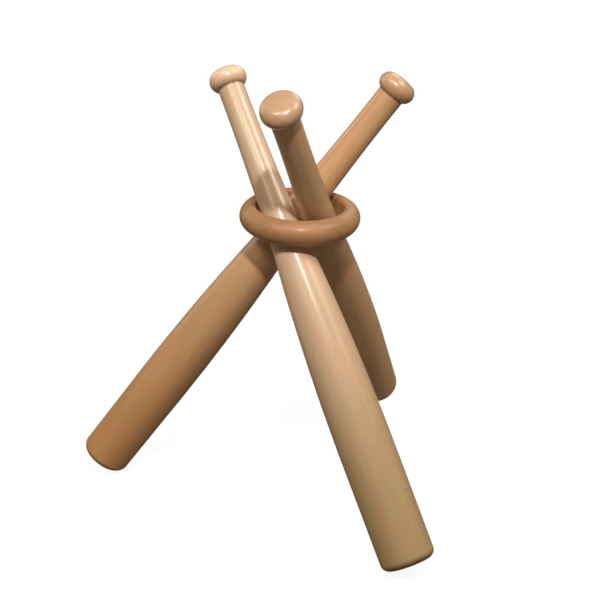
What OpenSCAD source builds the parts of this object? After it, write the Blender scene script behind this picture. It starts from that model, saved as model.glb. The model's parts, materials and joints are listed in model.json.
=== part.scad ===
// Three-bat ball stand: three miniature turned bats lean through one wooden ring.
// The bats are alike round +Z and stand on z = 0, and their knobs are an open cradle for a ball.
// The loose ring rests a little tipped.

/* [Bat] */
// Length of a bat from the flat of its barrel to the top of its knob
bat_len = 160; // [150:1:175]
// Diameter of the handle below the knob
handle_d = 8.4; // [8:0.1:8.5]
// Greatest diameter of the barrel
barrel_d = 16.7; // [15:0.1:17]
// Diameter of the barrel at its flat end, before the corner is rounded
barrel_end_d = 16.3; // [14.5:0.1:16.9]
// Radius of the rounded corner at the flat end
barrel_corner = 2.4; // [1:0.1:3]
// Distance from the knob's top to where the handle starts to swell
taper_start = 10; // [9:1:16]
// Distance from the knob's top to the greatest diameter
taper_end = 124; // [118:1:130]

/* [Knob] */
// Diameter of the knob
knob_d = 12; // [11.5:0.1:12.5]
// Thickness of the knob's full-round rim
knob_rim = 6.2; // [5.6:0.1:6.6]
// Height that the knob's top stands proud of its rim
knob_crown = 0.3; // [0.1:0.1:0.6]

/* [Stance] */
// Lean of each bat from the vertical, in degrees
lean = 37.3; // [34:0.1:38]
// Distance from the knob's top to the point of the bat that is nearest the Z axis
waist = 52.5; // [51:0.5:53]
// Distance from the Z axis to each bat's centre line
axis_gap = 6.85; // [6.8:0.05:6.95]

/* [Ring] */
// Outer diameter of the ring
ring_d = 37.4; // [37.2:0.1:38]
// Diameter of the ring's straight opening
ring_bore = 27; // [27:0.1:27.4]
// Radius of the ring's eased inner edges; its outside is half round
ring_edge = 1.3; // [1.1:0.1:1.5]
// Height of the ring's middle above the crossing of the bats
ring_rise = 1.1; // [1:0.1:1.3]
// Tip of the ring down towards -Y, in degrees
ring_tip = 4; // [0:0.5:4]

/* [Hidden] */
$fn = 96;
taper_steps = 24;
crown_steps = 6;
bat_wood = [0.88, 0.72, 0.54];
ring_wood = [0.79, 0.58, 0.38];
// Compass angle of each bat's nearest point to the Z axis
front_turn = -150;
rear_turn = -30;
left_turn = 90;
// A bat's lowest point is on the round of its corner, and it touches z = 0
waist_z = (bat_len - barrel_corner - waist) * cos(lean)
    + (barrel_end_d / 2 - barrel_corner) * sin(lean) + barrel_corner;

// Radius along the taper: two equal arcs, hollow at the handle and full at the barrel
function swell(t) = t < 0.5 ? 2 * t * t : 1 - 2 * (1 - t) * (1 - t);
function taper_r(t) = (handle_d + (barrel_d - handle_d) * swell(t)) / 2;

// Half-round section on the outside, straight opening with eased edges on the inside
module ring_section() {
    bore_r = ring_bore / 2;
    middle_x = bore_r + ring_edge;
    round_r = ring_d / 2 - middle_x;
    edge_z = round_r - ring_edge;
    intersection() {
        translate([middle_x, 0])
            circle(r = round_r);
        translate([middle_x, -ring_d])
            square(2 * ring_d);
    }
    translate([bore_r, -edge_z])
        square([ring_edge, 2 * edge_z]);
    for (z = [-edge_z, edge_z])
        translate([middle_x, z])
            circle(r = ring_edge);
}

module retaining_ring() {
    color(ring_wood)
        translate([0, 0, waist_z + ring_rise])
            rotate([ring_tip, 0, 0])
                rotate_extrude()
                    ring_section();
}

// Outline of a bat from the middle of its flat end to the middle of its knob
module bat_outline() {
    rim = knob_rim / 2;
    rim_x = knob_d / 2 - rim;
    rim_y = bat_len - knob_crown - rim;
    corner_x = barrel_end_d / 2 - barrel_corner;
    polygon([
        [0, 0],
        [corner_x, 0],
        [barrel_end_d / 2, barrel_corner],
        for (i = [taper_steps : -1 : 0])
            [taper_r(i / taper_steps),
             bat_len - taper_start - (taper_end - taper_start) * i / taper_steps],
        [handle_d / 2, rim_y],
        [rim_x, rim_y],
        for (i = [crown_steps : -1 : 0])
            [rim_x * i / crown_steps,
             bat_len - knob_crown * pow(i / crown_steps, 2)]
    ]);
    translate([corner_x, barrel_corner])
        circle(r = barrel_corner);
    intersection() {
        translate([rim_x, rim_y])
            circle(r = rim);
        translate([rim_x, 0])
            square(bat_len);
    }
}

module turned_bat(turn) {
    color(bat_wood)
        rotate([0, 0, turn])
            translate([axis_gap, 0, waist_z])
                rotate([lean, 0, 0])
                    translate([0, 0, waist - bat_len])
                        rotate_extrude()
                            bat_outline();
}

module front_bat() {
    turned_bat(front_turn);
}

module rear_bat() {
    turned_bat(rear_turn);
}

module left_bat() {
    turned_bat(left_turn);
}

retaining_ring();
front_bat();
rear_bat();
left_bat();
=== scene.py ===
"""A ball stand: three miniature turned bats lean through one wooden ring.

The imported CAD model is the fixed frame. Each bat and the ring is turned here as a fine mesh
of its own, in lacquered wood, and rides on the CAD body that it stands for.
"""
import json
import math

import bpy
import numpy as np
from mathutils import Matrix, Vector, noise


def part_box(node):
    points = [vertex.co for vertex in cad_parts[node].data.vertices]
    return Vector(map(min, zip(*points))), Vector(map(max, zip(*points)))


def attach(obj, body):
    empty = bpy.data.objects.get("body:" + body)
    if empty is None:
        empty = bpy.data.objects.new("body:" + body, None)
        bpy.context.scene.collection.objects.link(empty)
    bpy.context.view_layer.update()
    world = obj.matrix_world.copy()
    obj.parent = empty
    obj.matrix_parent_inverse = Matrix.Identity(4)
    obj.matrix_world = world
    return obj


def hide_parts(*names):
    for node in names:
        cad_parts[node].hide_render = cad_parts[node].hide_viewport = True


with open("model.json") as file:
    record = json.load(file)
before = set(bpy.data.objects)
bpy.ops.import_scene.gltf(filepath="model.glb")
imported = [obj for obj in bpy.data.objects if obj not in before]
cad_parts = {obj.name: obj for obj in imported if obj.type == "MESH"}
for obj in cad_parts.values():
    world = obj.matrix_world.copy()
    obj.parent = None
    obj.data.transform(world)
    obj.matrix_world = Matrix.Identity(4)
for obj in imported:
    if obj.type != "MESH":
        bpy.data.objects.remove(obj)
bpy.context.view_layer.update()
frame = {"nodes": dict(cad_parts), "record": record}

MM = 0.001

# Turned outline of a bat; its length and diameters are measured on the CAD nodes
BARREL_END_RADIUS = 8.15 * MM
CORNER_RADIUS = 2.4 * MM
TAPER_START = 10 * MM
TAPER_END = 124 * MM
KNOB_RIM_RADIUS = 3.1 * MM
KNOB_CROWN = 0.3 * MM
CREASE_RADIUS = 0.25 * MM
NECK_MARGIN = 1 * MM  # the handle is measured up to here above its taper

# Rows of points up an outline: how far apart on its long runs, and how many on each curve
ROW_STEP = 0.8 * MM
SCORE_STEPS = 8
CORNER_STEPS = 14
CREASE_STEPS = 6
RIM_STEPS = 40
CROWN_STEPS = 12
RING_OUTSIDE_STEPS = 48
RING_EDGE_STEPS = 14
BORE_STEPS = 8
SEGMENTS = 144  # points round each row

# What the lathe and the sandpaper left: all of it is taken off the CAD surface
SANDING_DEPTH = 0.05 * MM
SANDING_LENGTH = 9 * MM
SANDING_WIDTH = 3 * MM
SANDING_SEED_STEPS = (7.3, 3.1, 11.9)
SCORE_DEPTH = 0.012 * MM
SCORE_PITCH = 1.15 * MM

# Wood figure: year rings round a pith that lies beside the piece
YEAR_RING_PITCH = 2.1 * MM
YEAR_SWAY = 1.6
YEAR_SWAY_SIZE = (9 * MM, 9 * MM, 60 * MM)
LATE_WOOD = {"start": 0.25, "peak": 0.9, "end": 0.93}
PITH_DISTANCE = 38 * MM
PITH_TILT = math.radians(1.6)
BLANK_STEP_ACROSS = 13 * MM
BLANK_STEP_ALONG = 310 * MM
RING_GRAIN_TURN = (0, math.radians(90), math.radians(8))
RING_SEED = 9

# Wood figure: each noise's size across and along the grain, the values between which it
# fades in, and how much of it shows
BROAD_SIZE = (5 * MM, 5 * MM, 26 * MM)
STREAK_SIZE = (0.7 * MM, 0.7 * MM, 24 * MM)
FIBRE_SIZE = (0.16 * MM, 0.16 * MM, 3.2 * MM)
BLUSH_SIZE = (4 * MM, 4 * MM, 12 * MM)
FLECK_SIZE = (0.22 * MM, 0.5 * MM, 1.5 * MM)
CLOUD_RANGE = (0.3, 0.7)
BLUSH_RANGE = (0.42, 0.66)
FIBRE_RANGE = (0.35, 0.75)
FLECK_RANGE = (0.66, 0.74)
YEARS_SHARE = 0.20
BROAD_SHARE = 0.50
STREAK_SHARE = 0.16
BLUSH_SHARE = 0.65
FIBRE_SHARE = 0.13
FLECK_SHARE = 0.18
BLUSH_TINT = (1.03, 0.86, 0.84)
FIBRE_COLOUR = (0.30, 0.17, 0.08)
FLECK_COLOUR = (0.26, 0.13, 0.06)

# Tones: turn is how far each blank is turned round its own axis, in degrees;
# foot multiplies the tone towards a bat's foot: painted shade, darker and yellower where the
# lamps' light falls off; knob multiplies the tone at the knob: painted light and shade, the front
# knob lightened as if strongly lit and the rear one darkened
BATS = {
    "front_bat": {
        "turn": 20,
        "pale": (0.73, 0.52, 0.355),
        "deep": (0.63, 0.42, 0.245),
        "foot": (0.64, 0.60, 0.41),
        "knob": (1.30, 1.28, 1.28),
    },
    "rear_bat": {
        "turn": 140,
        "pale": (0.66, 0.41, 0.215),
        "deep": (0.56, 0.325, 0.16),
        "foot": (0.97, 0.94, 0.90),
        "knob": (0.85, 0.86, 0.95),
    },
    "left_bat": {
        "turn": 255,
        "pale": (0.67, 0.40, 0.195),
        "deep": (0.56, 0.31, 0.14),
        "foot": (0.95, 0.83, 0.64),
        "knob": (0.97, 0.99, 1.08),
    },
}
RING_TONES = {"pale": (0.46, 0.25, 0.108), "deep": (0.31, 0.145, 0.052)}
NO_TINT = (1, 1, 1)
# Painted shade: from this height down to a bat's foot its tone grows darker and yellower
FOOT_PAINTED_SHADE_END = 105 * MM
# Painted light and shade on the knob, over this depth below its top and blended over the next
KNOB_PAINTED_LIGHT_DEPTH = 6.5 * MM
KNOB_PAINTED_LIGHT_BLEND = 2.5 * MM
# Darker end grain on the flat end, with painted shade on the foot's rounded rim, fading out by this
# height
END_GRAIN_AND_SHADE_START = 0.44 * MM
END_GRAIN_AND_SHADE_DEPTH = 2.2 * MM
END_GRAIN_AND_PAINTED_SHADE = (0.50, 0.46, 0.42)
# Painted shade: a dark band in the crease under the knob
CREASE_SHADE_START = 0.05 * MM
CREASE_SHADE_END = 0.55 * MM
CREASE_SHADE_SHARE = 0.75
CREASE_SHADE_COLOUR = (0.10, 0.045, 0.018)

# Lacquer: on a bat it changes from barrel to handle between two heights
GLOSS_START = 70 * MM
GLOSS_END = 115 * MM
BARREL_ROUGHNESS = 0.66
HANDLE_ROUGHNESS = 0.30
RING_ROUGHNESS = 0.62
ROUGHNESS_SPREAD = 0.08
BARREL_COAT = 0.3
HANDLE_COAT = 0.65
RING_COAT = 0.3
COAT_ROUGHNESS = 0.27
LACQUER_IOR = 1.5
GRAIN_DEPTH = 0.006 * MM
FIBRE_RELIEF = 0.5
FLECK_RELIEF = -0.5
PEEL_DEPTH = 0.02 * MM
PEEL_SIZE = (1.1 * MM, 1.1 * MM, 2.4 * MM)
FIBRE_UNDER_PEEL = 0.06

# Camera
LENS = 56.95
SENSOR = 36
VIEW_AIM = Vector((0.55, -0.07, 62.58)) * MM
VIEW_AZIMUTH = math.radians(-6.89)
VIEW_ELEVATION = math.radians(21.72)
VIEW_ROLL = math.radians(1.14)
VIEW_DISTANCE = 303.5 * MM
CLIP_START = 0.01
CLIP_END = 50

# Light: disc lamps round the ring; angles in degrees, sizes in metres, power in watts
COOL = (0.98, 0.97, 1.0)
WARM = (1.0, 0.94, 0.80)
LAMPS = {
    "key": {
        "azimuth": -4.8, "elevation": 47.5, "distance": 0.30,
        "size": 0.018, "power": 0.54, "colour": COOL,
    },
    "left": {
        "azimuth": -50, "elevation": 50, "distance": 0.9,
        "size": 0.25, "power": 2.3, "colour": WARM,
    },
    "right": {
        "azimuth": 72, "elevation": 50, "distance": 0.9,
        "size": 0.4, "power": 3.1, "colour": WARM,
    },
    "back_left": {
        "azimuth": -130, "elevation": 20, "distance": 0.9,
        "size": 0.5, "power": 1.0, "colour": COOL,
    },
    "back_right": {
        "azimuth": 145, "elevation": 35, "distance": 0.9,
        "size": 0.5, "power": 1.2, "colour": COOL,
    },
}
ROOM_LIGHT = (0.15, 0.13, 0.10, 1)
WHITE = (1, 1, 1, 1)

# Floor: white paper that fades out with distance from the middle
PAPER = (0.8, 0.8, 0.8, 1)
PAPER_GLOW = 0.62
PAPER_SHOWN = 0.2
PAPER_FADE_START = 0.07
PAPER_FADE_END = 0.2
FLOOR_HALF = 1.5


def direction(azimuth, elevation):
    """Unit vector from the object towards a place round it; azimuth 0 is on the -Y side."""
    return Vector((
        math.sin(azimuth) * math.cos(elevation),
        -math.cos(azimuth) * math.cos(elevation),
        math.sin(elevation),
    ))


# ---------------------------------------------------------------- shapes


def arc(centre, radius, start, stop, steps):
    """Points (radius from the axis, height) along an arc; angles in degrees."""
    points = []
    for i in range(steps + 1):
        angle = math.radians(start + (stop - start) * i / steps)
        across = centre[0] + radius * math.cos(angle)
        points.append((across, centre[1] + radius * math.sin(angle)))
    return points


def swell(t):
    """Rise of the taper from 0 at the handle to 1 at the barrel: two equal arcs."""
    return 2 * t * t if t < 0.5 else 1 - 2 * (1 - t) * (1 - t)


def outward(outline, turned, i, closed):
    """The outline's unit normal, (radius, height), at point i of those that are turned."""
    last = len(turned) - 1
    before = turned[i - 1] if closed or i > 0 else outline[0]
    after = turned[(i + 1) % len(turned)] if closed or i < last else outline[-1]
    return Vector((after[1] - before[1], before[0] - after[0])).normalized()


def turned_points(outline, turned, closed, wobble):
    """Each turned point all the way round, moved along its normal by wobble."""
    points = []
    for i, (radius, height) in enumerate(turned):
        normal = outward(outline, turned, i, closed)
        for k in range(SEGMENTS):
            turn = 2 * math.pi * k / SEGMENTS
            out = Vector((math.cos(turn), math.sin(turn), 0))
            point = out * radius + Vector((0, 0, height))
            points.append(point + (out * normal.x + Vector((0, 0, normal.y))) * wobble(point))
    return points


def side_faces(count, closed):
    """Quads from each turned point to the next; a closed outline also joins its two ends."""
    faces = []
    for i in range(count if closed else count - 1):
        low = i * SEGMENTS
        high = (i + 1) % count * SEGMENTS
        for k in range(SEGMENTS):
            k_next = (k + 1) % SEGMENTS
            faces.append((low + k, low + k_next, high + k_next, high + k))
    return faces


def end_faces(count):
    """Two fans that close an open outline; their middle points are the last two."""
    bottom = count * SEGMENTS
    top = bottom + 1
    last = bottom - SEGMENTS
    faces = []
    for k in range(SEGMENTS):
        k_next = (k + 1) % SEGMENTS
        faces.append((bottom, k_next, k))
        faces.append((top, last + k, last + k_next))
    return faces


def lathe(name, outline, closed, wobble):
    """A solid of revolution round local Z.

    An open outline starts and ends on the axis; a closed one is a ring's section.
    """
    turned = outline if closed else outline[1:-1]
    vertices = turned_points(outline, turned, closed, wobble)
    faces = side_faces(len(turned), closed)
    if not closed:
        vertices += [Vector((0, 0, height)) for _, height in (outline[0], outline[-1])]
        faces += end_faces(len(turned))
    mesh = bpy.data.meshes.new(name)
    mesh.from_pydata(vertices, [], faces)
    mesh.polygons.foreach_set("use_smooth", [True] * len(faces))
    mesh.validate()
    piece = bpy.data.objects.new(name, mesh)
    bpy.context.scene.collection.objects.link(piece)
    return piece


def sanding(seed):
    """Low waves that sanding leaves, never proud of the CAD surface."""
    offset = Vector([seed * step for step in SANDING_SEED_STEPS])
    wave = (SANDING_WIDTH, SANDING_WIDTH, SANDING_LENGTH)

    def wobble(point):
        place = Vector([c / length for c, length in zip(point, wave)])
        return SANDING_DEPTH * (noise.noise(place + offset) - 1) / 2

    return wobble


def bat_frame(body):
    """A bat's own frame: the middle of its flat end, with Z along the bat towards its knob."""
    record = frame["record"]
    joint = next(j for j in record["behaviour"]["joints"] if j["child"] == body)
    face = next(m for m in record["mounts"] if m["name"] == body.replace("bat", "barrel_face"))
    along = -Vector(face["axis"]).normalized()
    across = Vector(joint["axis"])
    across = (across - along * across.dot(along)).normalized()
    place = Matrix((across, along.cross(across), along)).transposed().to_4x4()
    place.translation = Vector(face["pos_m"])
    return place


def bat_size(node, place):
    """Length and radii of a bat's CAD node, measured in the bat's own frame."""
    to_bat = place.inverted()
    points = [to_bat @ v.co for v in frame["nodes"][node].data.vertices]
    length = max(p.z for p in points)
    radii = [(p.z, math.hypot(p.x, p.y)) for p in points]
    neck = length - TAPER_START
    return {
        "length": length,
        "barrel": max(r for z, r in radii if z < neck),
        "handle": min(r for z, r in radii if length / 2 < z < neck + NECK_MARGIN),
        "knob": max(r for z, r in radii if z > neck),
    }


def flat_end():
    """A bat's flat end, with the lathe's fine scores on it, and its rounded corner."""
    flat = BARREL_END_RADIUS - CORNER_RADIUS
    steps = round(flat / SCORE_PITCH * SCORE_STEPS)
    points = [(0, 0)]
    for i in range(1, steps):
        radius = flat * i / steps
        wave = 1 - math.cos(2 * math.pi * radius / SCORE_PITCH)
        points.append((radius, SCORE_DEPTH * wave / 2))
    return points + arc((flat, CORNER_RADIUS), CORNER_RADIUS, -90, 0, CORNER_STEPS)


def barrel_and_handle(size):
    """The barrel from above its corner, and the taper down to the handle."""
    barrel, handle = size["barrel"], size["handle"]
    taper_low = size["length"] - TAPER_END
    taper_high = size["length"] - TAPER_START
    points = []
    steps = round((taper_low - CORNER_RADIUS) / ROW_STEP)
    for i in range(1, steps):
        t = i / steps
        radius = BARREL_END_RADIUS + (barrel - BARREL_END_RADIUS) * t
        points.append((radius, CORNER_RADIUS + (taper_low - CORNER_RADIUS) * t))
    steps = round((taper_high - taper_low) / ROW_STEP)
    for i in range(steps + 1):
        t = i / steps
        radius = handle + (barrel - handle) * swell(1 - t)
        points.append((radius, taper_low + (taper_high - taper_low) * t))
    return points


def neck_and_knob(size):
    """The straight neck, the crease and the knob, and the crease's height."""
    length, handle = size["length"], size["handle"]
    rim = (size["knob"] - KNOB_RIM_RADIUS, length - KNOB_CROWN - KNOB_RIM_RADIUS)
    crease_out = handle + CREASE_RADIUS
    reach = KNOB_RIM_RADIUS + CREASE_RADIUS
    drop = math.sqrt(reach * reach - (crease_out - rim[0]) ** 2)
    crease = (crease_out, rim[1] - drop)
    neck = length - TAPER_START
    points = []
    steps = round((crease[1] - neck) / ROW_STEP)
    for i in range(1, steps):
        points.append((handle, neck + (crease[1] - neck) * i / steps))
    meet = math.degrees(math.atan2(drop, rim[0] - crease_out))
    points += arc(crease, CREASE_RADIUS, 180, meet, CREASE_STEPS)
    points += arc(rim, KNOB_RIM_RADIUS, meet - 180, 90, RIM_STEPS)[1:]
    for i in range(1, CROWN_STEPS + 1):
        t = 1 - i / CROWN_STEPS
        points.append((rim[0] * t, length - KNOB_CROWN * t * t))
    return points, crease[1]


def bat_outline(size):
    """(radius, height) from the middle of the flat end to the knob's, and the crease's height."""
    top, crease = neck_and_knob(size)
    return flat_end() + barrel_and_handle(size) + top, crease


def ring_outline(outer, bore, height):
    """A ring's section about its middle: half round outside, a straight opening inside."""
    half = height / 2
    middle = outer - half
    edge = middle - bore
    straight = half - edge
    points = arc((middle, 0), half, -90, 90, RING_OUTSIDE_STEPS)
    points += arc((middle, straight), edge, 90, 180, RING_EDGE_STEPS)[1:]
    for i in range(1, BORE_STEPS):
        points.append((bore, straight - 2 * straight * i / BORE_STEPS))
    points += arc((middle, -straight), edge, 180, 270, RING_EDGE_STEPS)[:-1]
    return points


# ---------------------------------------------------------------- wood


def add_node(tree, kind, **settings):
    """A shader node of that kind with those properties."""
    node = tree.nodes.new("ShaderNode" + kind)
    for name, value in settings.items():
        setattr(node, name, value)
    return node


def feed(tree, socket, value):
    """Links a socket to another node's output, or gives it a fixed value."""
    if isinstance(value, bpy.types.NodeSocket):
        tree.links.new(value, socket)
    else:
        socket.default_value = value


def math_node(tree, operation, *values):
    """One arithmetic step."""
    node = add_node(tree, "Math", operation=operation)
    for socket, value in zip(node.inputs, values):
        feed(tree, socket, value)
    return node.outputs["Value"]


def stretched(tree, place, size):
    """Coordinates in which a box of that size, in metres, is a unit cube."""
    node = add_node(tree, "Mapping", vector_type="POINT")
    feed(tree, node.inputs["Vector"], place)
    node.inputs["Scale"].default_value = [1 / s for s in size]
    return node.outputs["Vector"]


def noise_node(tree, place, size, detail=2, roughness=0.5):
    """Noise from 0 to 1 whose blobs have that size along the wood's X, Y and Z."""
    node = add_node(tree, "TexNoise", noise_dimensions="3D")
    feed(tree, node.inputs["Vector"], stretched(tree, place, size))
    node.inputs["Scale"].default_value = 1
    node.inputs["Detail"].default_value = detail
    node.inputs["Roughness"].default_value = roughness
    return node.outputs["Fac"]


def remap(tree, value, low, high, to_low=0, to_high=1):
    """Smooth step of a value from one range to another."""
    node = add_node(tree, "MapRange", interpolation_type="SMOOTHSTEP")
    feed(tree, node.inputs["Value"], value)
    node.inputs["From Min"].default_value = low
    node.inputs["From Max"].default_value = high
    node.inputs["To Min"].default_value = to_low
    node.inputs["To Max"].default_value = to_high
    return node.outputs["Result"]


def mix_colour(tree, factor, first, second, mode="MIX"):
    """Two colours mixed by a factor."""
    node = add_node(tree, "Mix", data_type="RGBA", blend_type=mode)
    feed(tree, node.inputs["Factor"], factor)
    colours = [s for s in node.inputs if s.type == "RGBA"]
    for socket, value in zip(colours, (first, second)):
        feed(tree, socket, value if isinstance(value, bpy.types.NodeSocket) else (*value, 1))
    return next(s for s in node.outputs if s.type == "RGBA")


def wood_place(tree, seed, turn):
    """Coordinates in the wood, with Z along the grain, and the piece's own coordinates."""
    coords = add_node(tree, "TexCoord")
    node = add_node(tree, "Mapping", vector_type="POINT")
    feed(tree, node.inputs["Vector"], coords.outputs["Object"])
    node.inputs["Rotation"].default_value = turn
    cut_from = (PITH_DISTANCE, seed * BLANK_STEP_ACROSS, seed * BLANK_STEP_ALONG)
    node.inputs["Location"].default_value = cut_from
    return node.outputs["Vector"], coords.outputs["Object"]


def year_rings(tree, place):
    """0 in the early wood of each year, rising to 1 in its thin late wood."""
    flatten = add_node(tree, "VectorMath", operation="MULTIPLY")
    feed(tree, flatten.inputs[0], place)
    flatten.inputs[1].default_value = (1, 1, 0)
    length = add_node(tree, "VectorMath", operation="LENGTH")
    feed(tree, length.inputs[0], flatten.outputs["Vector"])
    sway = math_node(tree, "MULTIPLY", noise_node(tree, place, YEAR_SWAY_SIZE), YEAR_SWAY)
    distance = length.outputs["Value"]
    years = math_node(tree, "MULTIPLY_ADD", distance, 1 / YEAR_RING_PITCH, sway)
    share = math_node(tree, "FRACT", years)
    rise = remap(tree, share, LATE_WOOD["start"], LATE_WOOD["peak"])
    fall = remap(tree, share, LATE_WOOD["end"], 1, 1, 0)
    return math_node(tree, "MULTIPLY", rise, fall)


def wood_tone(tree, place, broad):
    """From 0 where the wood is palest towards 1 where it is deepest."""
    streak = noise_node(tree, place, STREAK_SIZE, detail=3, roughness=0.6)
    clouds = math_node(tree, "MULTIPLY", remap(tree, broad, *CLOUD_RANGE), BROAD_SHARE)
    streaks = math_node(tree, "MULTIPLY", remap(tree, streak, *CLOUD_RANGE), STREAK_SHARE)
    tone = math_node(tree, "MULTIPLY_ADD", year_rings(tree, place), YEARS_SHARE, clouds)
    return math_node(tree, "ADD", tone, streaks)


def wood_colour(tree, place, tones, broad, fibre, flecks):
    """Pale and deep tones with a warm blush, darker fibres and small flecks."""
    blush = noise_node(tree, place, BLUSH_SIZE)
    blushed = remap(tree, blush, *BLUSH_RANGE, 0, BLUSH_SHARE)
    fibres = remap(tree, fibre, *FIBRE_RANGE, 0, FIBRE_SHARE)
    pink = tuple(c * k for c, k in zip(tones["pale"], BLUSH_TINT))
    colour = mix_colour(tree, wood_tone(tree, place, broad), tones["pale"], tones["deep"])
    colour = mix_colour(tree, blushed, colour, pink)
    colour = mix_colour(tree, fibres, colour, FIBRE_COLOUR)
    return mix_colour(tree, math_node(tree, "MULTIPLY", flecks, FLECK_SHARE), colour, FLECK_COLOUR)


def colour_along(tree, colour, along, tones, bat):
    """A bat's colour from foot to knob, with painted shade towards the foot, painted light and
    shade on the knob, darker end grain with painted shade on the foot's rim, and painted shade in
    the crease.
    """
    # Painted light and shade on the knob
    knob_start = bat["length"] - KNOB_PAINTED_LIGHT_DEPTH
    # Painted shade: darker and yellower towards the foot
    from_foot = remap(tree, along, 0, FOOT_PAINTED_SHADE_END)
    to_knob = remap(tree, along, knob_start, knob_start + KNOB_PAINTED_LIGHT_BLEND)
    painted_light_and_shade_tint = mix_colour(tree, from_foot, tones["foot"], NO_TINT)
    painted_light_and_shade_tint = mix_colour(tree, to_knob, painted_light_and_shade_tint, tones["knob"])
    colour = mix_colour(tree, 1, colour, painted_light_and_shade_tint, "MULTIPLY")
    # Darker end grain with painted shade on the foot's rim
    from_end = remap(tree, along, END_GRAIN_AND_SHADE_START, END_GRAIN_AND_SHADE_DEPTH)
    shade = mix_colour(tree, from_end, END_GRAIN_AND_PAINTED_SHADE, NO_TINT)
    colour = mix_colour(tree, 1, colour, shade, "MULTIPLY")
    # Painted shade in the crease under the knob
    from_crease = math_node(tree, "ABSOLUTE", math_node(tree, "SUBTRACT", along, bat["crease"]))
    painted_crease_shade = remap(tree, from_crease, CREASE_SHADE_START, CREASE_SHADE_END, CREASE_SHADE_SHARE, 0)
    return mix_colour(tree, painted_crease_shade, colour, CREASE_SHADE_COLOUR)


def add_lacquer(tree, shader, broad, along):
    """Clear lacquer: glossier on a bat's handle than on its barrel, and even on the ring."""
    roughness, coat = RING_ROUGHNESS, RING_COAT
    if along is not None:
        roughness = remap(tree, along, GLOSS_START, GLOSS_END, BARREL_ROUGHNESS, HANDLE_ROUGHNESS)
        coat = remap(tree, along, GLOSS_START, GLOSS_END, BARREL_COAT, HANDLE_COAT)
    uneven = math_node(tree, "MULTIPLY_ADD", broad, ROUGHNESS_SPREAD, -ROUGHNESS_SPREAD / 2)
    feed(tree, shader.inputs["Roughness"], math_node(tree, "ADD", uneven, roughness))
    feed(tree, shader.inputs["Coat Weight"], coat)
    shader.inputs["Coat Roughness"].default_value = COAT_ROUGHNESS
    shader.inputs["Coat IOR"].default_value = LACQUER_IOR
    shader.inputs["IOR"].default_value = LACQUER_IOR


def add_bump(tree, socket, height, depth):
    """Fine relief on one of the shader's normals."""
    bump = add_node(tree, "Bump")
    bump.inputs["Distance"].default_value = depth
    feed(tree, bump.inputs["Height"], height)
    feed(tree, socket, bump.outputs["Normal"])


def wood(name, tones, seed, turn, bat=None):
    """Close-grained pale wood under clear lacquer.

    On a bat, given by its length and the height of its crease, colour and gloss also change
    from foot to knob.
    """
    material = bpy.data.materials.new(name)
    material.use_nodes = True
    tree = material.node_tree
    shader = tree.nodes["Principled BSDF"]
    place, own_place = wood_place(tree, seed, turn)

    broad = noise_node(tree, place, BROAD_SIZE, detail=3, roughness=0.55)
    fibre = noise_node(tree, place, FIBRE_SIZE, roughness=0.6)
    fleck = noise_node(tree, place, FLECK_SIZE, detail=1)
    flecks = remap(tree, fleck, *FLECK_RANGE)
    colour = wood_colour(tree, place, tones, broad, fibre, flecks)
    along = None
    if bat is not None:
        split = add_node(tree, "SeparateXYZ")
        feed(tree, split.inputs["Vector"], own_place)
        along = split.outputs["Z"]
        colour = colour_along(tree, colour, along, tones, bat)
    feed(tree, shader.inputs["Base Color"], colour)
    add_lacquer(tree, shader, broad, along)

    pits = math_node(tree, "MULTIPLY", flecks, FLECK_RELIEF)
    grain = math_node(tree, "MULTIPLY_ADD", fibre, FIBRE_RELIEF, pits)
    add_bump(tree, shader.inputs["Normal"], grain, GRAIN_DEPTH)
    peel = noise_node(tree, own_place, PEEL_SIZE)
    ripple = math_node(tree, "MULTIPLY_ADD", fibre, FIBRE_UNDER_PEEL, peel)
    add_bump(tree, shader.inputs["Coat Normal"], ripple, PEEL_DEPTH)
    return material


# ---------------------------------------------------------------- pieces


def make_bat(body, look, seed):
    """One bat, turned in its own frame."""
    place = bat_frame(body)
    size = bat_size(body, place)
    outline, crease = bat_outline(size)
    piece = lathe(body + "_turning", outline, False, sanding(seed))
    piece.matrix_world = place
    turn = (PITH_TILT, 0, math.radians(look["turn"]))
    bat = {"length": size["length"], "crease": crease}
    piece.data.materials.append(wood(body + "_wood", look, seed, turn, bat))
    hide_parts(body)
    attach(piece, body)


def ring_frame():
    """The ring's own frame: its middle, with Z along the axis that its CAD node is turned round."""
    low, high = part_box("retaining_ring")
    middle = (low + high) / 2
    points = np.array([v.co - middle for v in frame["nodes"]["retaining_ring"].data.vertices])
    flattest = Vector(np.linalg.svd(points, full_matrices=False)[2][2])
    axis = flattest if flattest.z > 0 else -flattest
    across = Vector((0, 1, 0)).cross(axis).normalized()
    place = Matrix((across, axis.cross(across), axis)).transposed().to_4x4()
    place.translation = middle
    return place


def make_ring():
    """The ring, turned from a board whose grain runs across it."""
    place = ring_frame()
    to_ring = place.inverted()
    points = [to_ring @ v.co for v in frame["nodes"]["retaining_ring"].data.vertices]
    radii = [math.hypot(p.x, p.y) for p in points]
    heights = [p.z for p in points]
    outline = ring_outline(max(radii), min(radii), max(heights) - min(heights))
    piece = lathe("retaining_ring_turning", outline, True, sanding(RING_SEED))
    piece.matrix_world = place
    material = wood("ring_wood_lacquered", RING_TONES, RING_SEED, RING_GRAIN_TURN)
    piece.data.materials.append(material)
    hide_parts("retaining_ring")
    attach(piece, "ring")


# ---------------------------------------------------------------- stage


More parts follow.
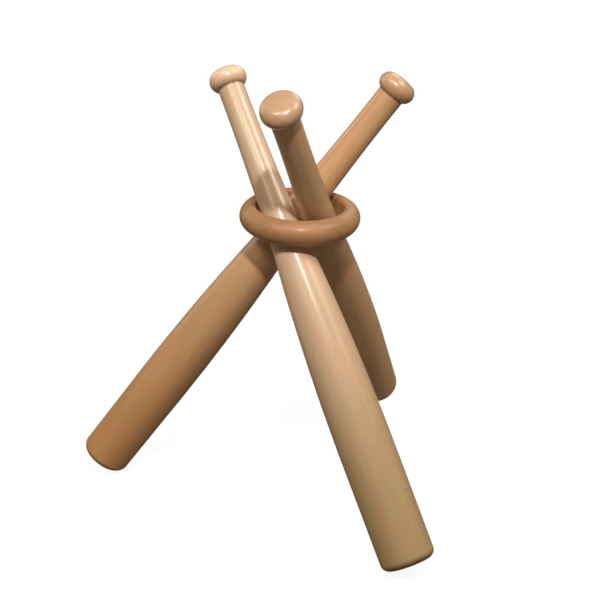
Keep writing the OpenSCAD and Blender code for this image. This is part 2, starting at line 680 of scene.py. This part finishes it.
def make_camera():
    """The photograph's viewing angle, as a fixed camera."""
    back = direction(VIEW_AZIMUTH, VIEW_ELEVATION)
    level_right = Vector((0, 0, 1)).cross(back).normalized()
    level_up = back.cross(level_right)
    right = level_right * math.cos(VIEW_ROLL) + level_up * math.sin(VIEW_ROLL)
    camera = bpy.data.cameras.new("camera")
    camera.lens = LENS
    camera.sensor_width = SENSOR
    camera.clip_start = CLIP_START
    camera.clip_end = CLIP_END
    holder = bpy.data.objects.new("camera", camera)
    place = Matrix((right, back.cross(right), back)).transposed().to_4x4()
    place.translation = VIEW_AIM + back * VIEW_DISTANCE
    holder.matrix_world = place
    bpy.context.scene.collection.objects.link(holder)
    bpy.context.scene.camera = holder


def make_lamp(name, azimuth, elevation, distance, size, power, colour):
    """A soft lamp aimed at the ring."""
    low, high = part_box("retaining_ring")
    aim = (low + high) / 2
    lamp = bpy.data.lights.new(name, "AREA")
    lamp.shape = "DISK"
    lamp.size = size
    lamp.energy = power
    lamp.color = colour
    holder = bpy.data.objects.new(name, lamp)
    back = direction(math.radians(azimuth), math.radians(elevation))
    holder.rotation_mode = "QUATERNION"
    holder.rotation_quaternion = (-back).to_track_quat("-Z", "Y")
    holder.location = aim + back * distance
    bpy.context.scene.collection.objects.link(holder)


def make_room():
    """A white backdrop for the camera, and the dim room light that falls on the object."""
    world = bpy.data.worlds.new("room")
    bpy.context.scene.world = world
    world.use_nodes = True
    tree = world.node_tree
    tree.nodes.clear()
    rays = add_node(tree, "LightPath")
    seen = add_node(tree, "Background")
    seen.inputs["Color"].default_value = WHITE
    dim = add_node(tree, "Background")
    dim.inputs["Color"].default_value = ROOM_LIGHT
    either = add_node(tree, "MixShader")
    feed(tree, either.inputs["Fac"], rays.outputs["Is Camera Ray"])
    feed(tree, either.inputs[1], dim.outputs["Background"])
    feed(tree, either.inputs[2], seen.outputs["Background"])
    output = add_node(tree, "OutputWorld")
    feed(tree, output.inputs["Surface"], either.outputs["Shader"])


def floor_material():
    """White paper that shows only the faintest shadow, and fades into the backdrop."""
    material = bpy.data.materials.new("white_floor")
    material.use_nodes = True
    tree = material.node_tree
    tree.nodes.clear()
    paper = add_node(tree, "BsdfDiffuse")
    paper.inputs["Color"].default_value = PAPER
    glow = add_node(tree, "Emission")
    glow.inputs["Color"].default_value = WHITE
    glow.inputs["Strength"].default_value = PAPER_GLOW
    lit = add_node(tree, "AddShader")
    feed(tree, lit.inputs[0], paper.outputs["BSDF"])
    feed(tree, lit.inputs[1], glow.outputs["Emission"])
    clear = add_node(tree, "BsdfTransparent")
    coords = add_node(tree, "TexCoord")
    reach = add_node(tree, "VectorMath", operation="LENGTH")
    feed(tree, reach.inputs[0], coords.outputs["Object"])
    distance = reach.outputs["Value"]
    shown = remap(tree, distance, PAPER_FADE_START, PAPER_FADE_END, PAPER_SHOWN, 0)
    either = add_node(tree, "MixShader")
    feed(tree, either.inputs["Fac"], shown)
    feed(tree, either.inputs[1], clear.outputs["BSDF"])
    feed(tree, either.inputs[2], lit.outputs["Shader"])
    output = add_node(tree, "OutputMaterial")
    feed(tree, output.inputs["Surface"], either.outputs["Shader"])
    return material


def make_floor():
    """A plain pale floor under the feet."""
    half = FLOOR_HALF
    mesh = bpy.data.meshes.new("floor")
    corners = [(-half, -half, 0), (half, -half, 0), (half, half, 0), (-half, half, 0)]
    mesh.from_pydata(corners, [], [(0, 1, 2, 3)])
    floor = bpy.data.objects.new("floor", mesh)
    mesh.materials.append(floor_material())
    bpy.context.scene.collection.objects.link(floor)
    floor.visible_diffuse = False
    floor.visible_glossy = False


make_camera()
for number, (bat, look) in enumerate(BATS.items(), start=1):
    make_bat(bat, look, number)
make_ring()
make_room()
make_floor()
for lamp_name, settings in LAMPS.items():
    make_lamp(lamp_name, **settings)
bpy.context.scene.view_settings.view_transform = "Standard"
